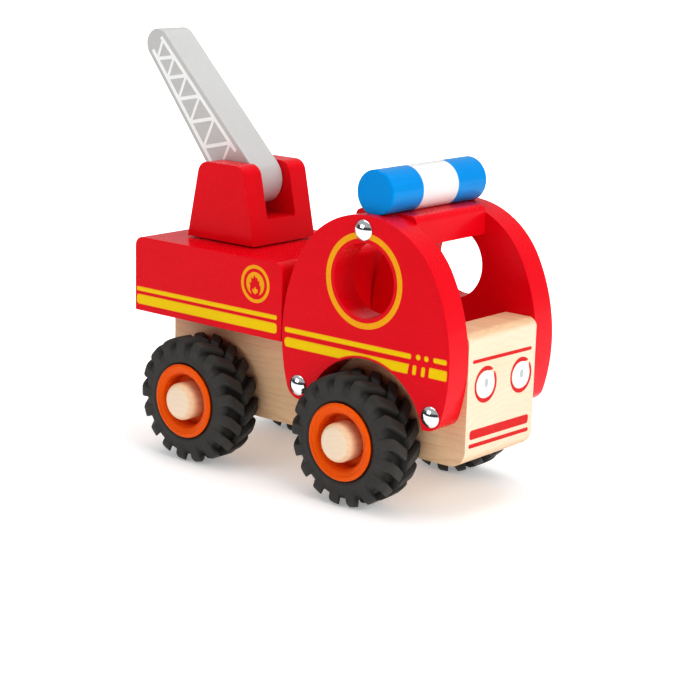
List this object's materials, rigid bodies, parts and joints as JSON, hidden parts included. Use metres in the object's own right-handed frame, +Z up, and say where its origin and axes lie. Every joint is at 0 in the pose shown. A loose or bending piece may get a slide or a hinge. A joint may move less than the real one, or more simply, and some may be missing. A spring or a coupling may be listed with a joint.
{
  "type": "toy fire engine",
  "caption": "Wooden toy fire engine on free-running wheels, with a dowel light bar over an open cab and a swivelling turret that holds a tilting ladder arm.",
  "frame": {"origin": "on the floor, under the centre of the engine's overall box with the ladder raised as at rest", "axes": "+X forward, towards the nose; +Y to the engine's left; +Z up"},
  "size_m": [0.1886, 0.0928, 0.1766],
  "materials": {
    "natural_wood": "clear matt lacquer over fine straight grain",
    "peg_wood": "sanded, clear matt lacquer",
    "dowel_wood": "plain sanded",
    "red_lacquer": "glossy red lacquer on wood",
    "light_bar_lacquer": "glossy blue lacquer with a white band round the middle",
    "grey_lacquer": "satin light grey lacquer on wood",
    "nail_chrome": "polished nickel",
    "screw_steel": "zinc plated",
    "washer_plastic": "plain",
    "tyre_rubber": "matt black rubber",
    "rim_plastic": "semi-gloss orange plastic"
  },
  "bodies": {
    "body": {"chassis_block": "natural_wood", "bed_block": "red_lacquer", "bed_dowels": "dowel_wood", "roof_plank": "red_lacquer", "light_bar": "light_bar_lacquer", "light_bar_dowels": "dowel_wood", "cab_panel_right": "red_lacquer", "cab_panel_left": "red_lacquer", "dome_nails_right": "nail_chrome", "dome_nails_left": "nail_chrome", "turret_washer": "washer_plastic", "turret_screw": "screw_steel", "axle_peg_front_right": "peg_wood", "axle_peg_front_left": "peg_wood", "axle_peg_rear_right": "peg_wood", "axle_peg_rear_left": "peg_wood"},
    "turret": {"turret_fork": "red_lacquer", "ladder_pin": "dowel_wood"},
    "ladder": {"ladder_arm": "grey_lacquer"},
    "wheel_front_right": {"tyre_front_right": "tyre_rubber", "rim_front_right": "rim_plastic"},
    "wheel_front_left": {"tyre_front_left": "tyre_rubber", "rim_front_left": "rim_plastic"},
    "wheel_rear_right": {"tyre_rear_right": "tyre_rubber", "rim_rear_right": "rim_plastic"},
    "wheel_rear_left": {"tyre_rear_left": "tyre_rubber", "rim_rear_left": "rim_plastic"}
  },
  "joints": [
    {"name": "turret_swivel", "type": "hinge", "parent": "body", "child": "turret", "pos_m": [-0.0389, 0, 0.0916], "axis": [0, 0, 1], "continuous": true},
    {"name": "ladder_tilt", "type": "hinge", "parent": "turret", "child": "ladder", "pos_m": [-0.0398, 0, 0.1161], "axis": [0, 1, 0], "range_deg": [-40.4, 123.6]},
    {"name": "front_right_spin", "type": "hinge", "parent": "body", "child": "wheel_front_right", "pos_m": [0.0483, -0.03265, 0.0267], "axis": [0, 1, 0], "continuous": true},
    {"name": "front_left_spin", "type": "hinge", "parent": "body", "child": "wheel_front_left", "pos_m": [0.0483, 0.03265, 0.0267], "axis": [0, 1, 0], "continuous": true},
    {"name": "rear_right_spin", "type": "hinge", "parent": "body", "child": "wheel_rear_right", "pos_m": [-0.0373, -0.03265, 0.0267], "axis": [0, 1, 0], "continuous": true},
    {"name": "rear_left_spin", "type": "hinge", "parent": "body", "child": "wheel_rear_left", "pos_m": [-0.0373, 0.03265, 0.0267], "axis": [0, 1, 0], "continuous": true}
  ]
}
